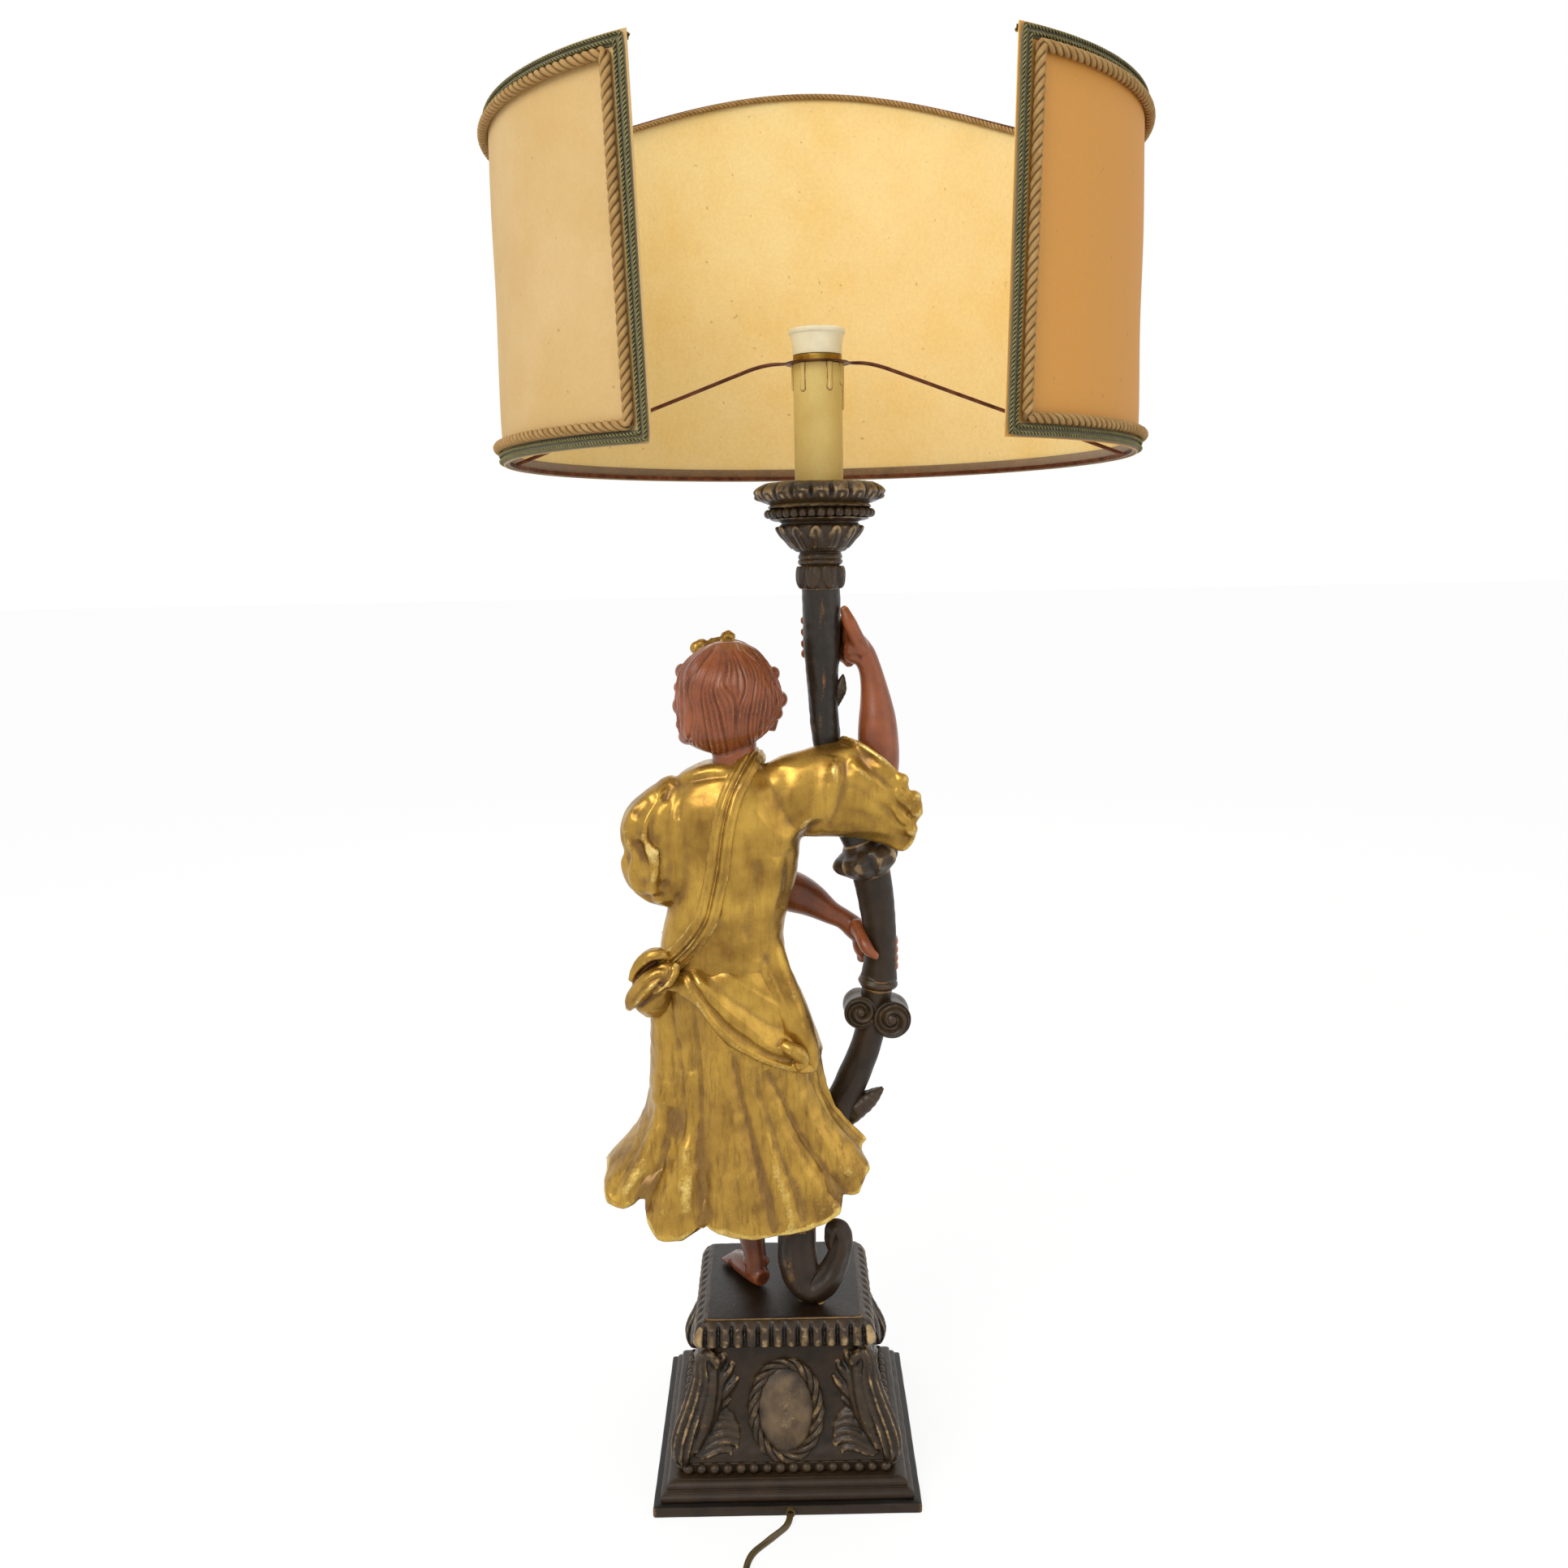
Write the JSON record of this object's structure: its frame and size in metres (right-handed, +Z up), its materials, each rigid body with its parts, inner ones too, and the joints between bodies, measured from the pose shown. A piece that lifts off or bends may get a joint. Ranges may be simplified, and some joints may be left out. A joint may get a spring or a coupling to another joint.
{
  "type": "figural table lamp",
  "caption": "Figural table lamp: a gilded wooden figure beside a scrolled pole that carries a candle-shaped lampholder and an open-backed drum shade.",
  "frame": {"origin": "centre of the base's underside", "axes": "+Z up, +Y towards the figure's front, -Y towards the shade's opening and the cord's exit"},
  "size_m": [0.512, 0.5714, 1.21],
  "materials": {
    "ebonised_wood": "ebonised, worn",
    "plain_wood": "raw",
    "gilt_wood": "water gilded over red bole",
    "lacquered_wood": "lacquered",
    "steel": "plain",
    "brass": "aged",
    "ivory_plastic": "moulded",
    "ceramic": "unglazed",
    "wax_card": "moulded candle cover",
    "lead_pvc": "pvc",
    "cord_pvc": "flexible pvc",
    "switch_plastic": "moulded",
    "parchment": "laminated parchment",
    "rope": "twisted cord",
    "braid": "woven braid",
    "binding": "cotton tape",
    "wire": "copper lacquer"
  },
  "bodies": {
    "lamp": {"plinth_board": "ebonised_wood", "plinth_moulding": "ebonised_wood", "bead_course": "ebonised_wood", "base_die": "ebonised_wood", "medallion_domes": "ebonised_wood", "medallion_ropes": "ebonised_wood", "corner_acanthus": "ebonised_wood", "gadroon_moulding": "ebonised_wood", "platform_board": "ebonised_wood", "pole_foot_scroll": "ebonised_wood", "pole_lower": "ebonised_wood", "pole_leaves": "ebonised_wood", "volutes": "ebonised_wood", "volute_collar": "ebonised_wood", "pole_middle": "ebonised_wood", "pole_knuckle": "ebonised_wood", "pole_upper": "ebonised_wood", "calyx": "ebonised_wood", "capital_bowl": "ebonised_wood", "drip_pan": "ebonised_wood", "base_cover": "plain_wood", "dowels": "plain_wood", "skirt": "gilt_wood", "overskirt": "gilt_wood", "tunic": "gilt_wood", "sash": "gilt_wood", "hip_knot": "gilt_wood", "raised_sleeve": "gilt_wood", "lowered_sleeve": "gilt_wood", "hair_bow": "gilt_wood", "raised_forearm": "lacquered_wood", "lowered_forearm": "lacquered_wood", "head": "lacquered_wood", "left_leg": "lacquered_wood", "right_leg": "lacquered_wood", "cover_screws": "steel", "tube_nuts": "steel", "lamp_tube": "brass", "socket_contacts": "brass", "plug_pins": "brass", "holder_shell": "ivory_plastic", "holder_insert": "ceramic", "candle_sleeve": "wax_card", "inner_lead": "lead_pvc", "cord_to_switch": "cord_pvc", "cord_to_coil": "cord_pvc", "cord_coil": "cord_pvc", "cord_grommet": "cord_pvc", "switch_body": "switch_plastic", "plug_body": "switch_plastic"},
    "shade": {"shade_hub": "brass", "shade_arms": "wire", "shade_frame": "wire", "parchment": "parchment", "rope_trim": "rope", "braid_trim": "braid", "shade_binding": "binding"},
    "ring_nut": {"ring_nut": "ivory_plastic"},
    "rocker": {"switch_rocker": "switch_plastic"}
  },
  "joints": [
    {"name": "shade_turn", "type": "hinge", "parent": "lamp", "child": "shade", "pos_m": [0.0415, 0, 0.931], "axis": [0, 0, 1], "continuous": true},
    {"name": "ring_nut_turn", "type": "hinge", "parent": "lamp", "child": "ring_nut", "pos_m": [0.0415, 0, 0.948], "axis": [0, 0, 1], "continuous": true},
    {"name": "rocker_tip", "type": "hinge", "parent": "lamp", "child": "rocker", "pos_m": [0.031, -0.216, 0.0148], "axis": [0, 1, 0], "range_deg": [-12, 0]}
  ]
}
